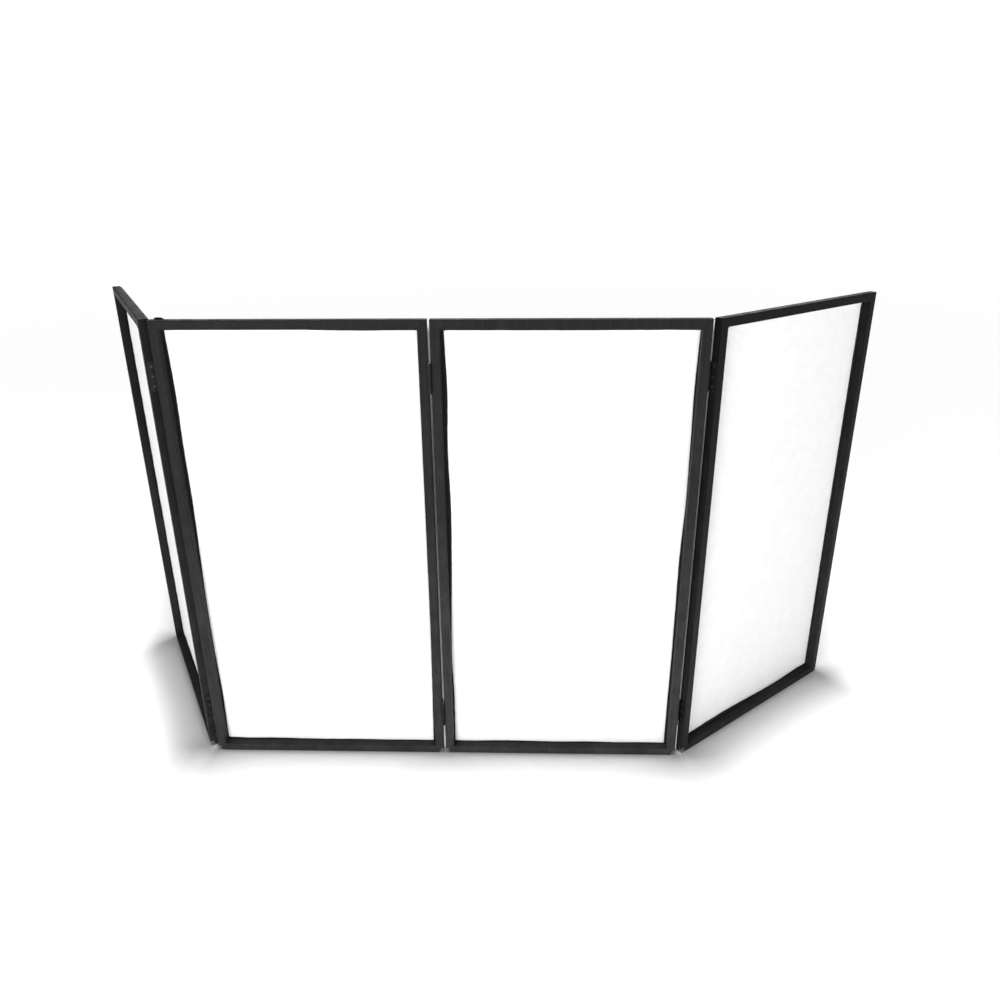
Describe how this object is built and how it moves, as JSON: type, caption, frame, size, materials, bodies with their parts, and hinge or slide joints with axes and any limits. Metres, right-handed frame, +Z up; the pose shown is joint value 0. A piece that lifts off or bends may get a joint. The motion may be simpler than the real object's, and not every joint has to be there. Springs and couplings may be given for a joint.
{
  "type": "folding panel screen",
  "caption": "Folding floor screen of black steel-tube frames joined by butt hinges, each frame filled with white stretched cloth held on its back by hook-and-loop tape.",
  "frame": {"origin": "on the floor, under the middle of the standing screen's bounding box", "axes": "+Z up, +X to the right along the two middle panels as seen from the front, +Y from the front to the back, where the wings fold"},
  "size_m": [2.142, 0.5716, 1.2],
  "materials": {
    "frame_paint": "black satin powder coat",
    "hinge_paint": "black satin paint",
    "pin_steel": "blackened steel",
    "hook_tape": "black woven hook tape",
    "loop_tape": "black brushed loop tape",
    "cloth": "white matt stretch knit"
  },
  "bodies": {
    "left_center": {"left_center_left_stile": "frame_paint", "left_center_right_stile": "frame_paint", "left_center_top_rail": "frame_paint", "left_center_bottom_rail": "frame_paint", "left_center_left_hook_tape": "hook_tape", "left_center_right_hook_tape": "hook_tape", "left_center_bottom_hook_tape": "hook_tape", "left_center_top_hook_tape": "hook_tape", "left_center_loop_band": "loop_tape", "left_center_cloth": "cloth", "left_upper_hinge_right_leaf": "hinge_paint", "left_lower_hinge_right_leaf": "hinge_paint", "center_upper_hinge_left_leaf": "hinge_paint", "center_upper_hinge_pin": "pin_steel", "center_lower_hinge_left_leaf": "hinge_paint", "center_lower_hinge_pin": "pin_steel"},
    "left_wing": {"left_wing_left_stile": "frame_paint", "left_wing_right_stile": "frame_paint", "left_wing_top_rail": "frame_paint", "left_wing_bottom_rail": "frame_paint", "left_wing_left_hook_tape": "hook_tape", "left_wing_right_hook_tape": "hook_tape", "left_wing_bottom_hook_tape": "hook_tape", "left_wing_top_hook_tape": "hook_tape", "left_wing_loop_band": "loop_tape", "left_wing_cloth": "cloth", "left_upper_hinge_left_leaf": "hinge_paint", "left_upper_hinge_pin": "pin_steel", "left_lower_hinge_left_leaf": "hinge_paint", "left_lower_hinge_pin": "pin_steel"},
    "right_center": {"right_center_left_stile": "frame_paint", "right_center_right_stile": "frame_paint", "right_center_top_rail": "frame_paint", "right_center_bottom_rail": "frame_paint", "right_center_left_hook_tape": "hook_tape", "right_center_right_hook_tape": "hook_tape", "right_center_bottom_hook_tape": "hook_tape", "right_center_top_hook_tape": "hook_tape", "right_center_loop_band": "loop_tape", "right_center_cloth": "cloth", "center_upper_hinge_right_leaf": "hinge_paint", "center_lower_hinge_right_leaf": "hinge_paint", "right_upper_hinge_left_leaf": "hinge_paint", "right_upper_hinge_pin": "pin_steel", "right_lower_hinge_left_leaf": "hinge_paint", "right_lower_hinge_pin": "pin_steel"},
    "right_wing": {"right_wing_left_stile": "frame_paint", "right_wing_right_stile": "frame_paint", "right_wing_top_rail": "frame_paint", "right_wing_bottom_rail": "frame_paint", "right_wing_left_hook_tape": "hook_tape", "right_wing_right_hook_tape": "hook_tape", "right_wing_bottom_hook_tape": "hook_tape", "right_wing_top_hook_tape": "hook_tape", "right_wing_loop_band": "loop_tape", "right_wing_cloth": "cloth", "right_upper_hinge_right_leaf": "hinge_paint", "right_lower_hinge_right_leaf": "hinge_paint"}
  },
  "joints": [
    {"name": "left_fold", "type": "hinge", "parent": "left_center", "child": "left_wing", "pos_m": [-0.71849, -0.25078, 0], "axis": [0, 0, -1], "range_deg": [-58.5, 121.5]},
    {"name": "center_fold", "type": "hinge", "parent": "left_center", "child": "right_center", "pos_m": [-0.08249, -0.28178, 0], "axis": [0, 0, -1], "range_deg": [0, 180]},
    {"name": "right_fold", "type": "hinge", "parent": "right_center", "child": "right_wing", "pos_m": [0.55351, -0.25078, 0], "axis": [0, 0, 1], "range_deg": [-37.5, 142.5]}
  ]
}
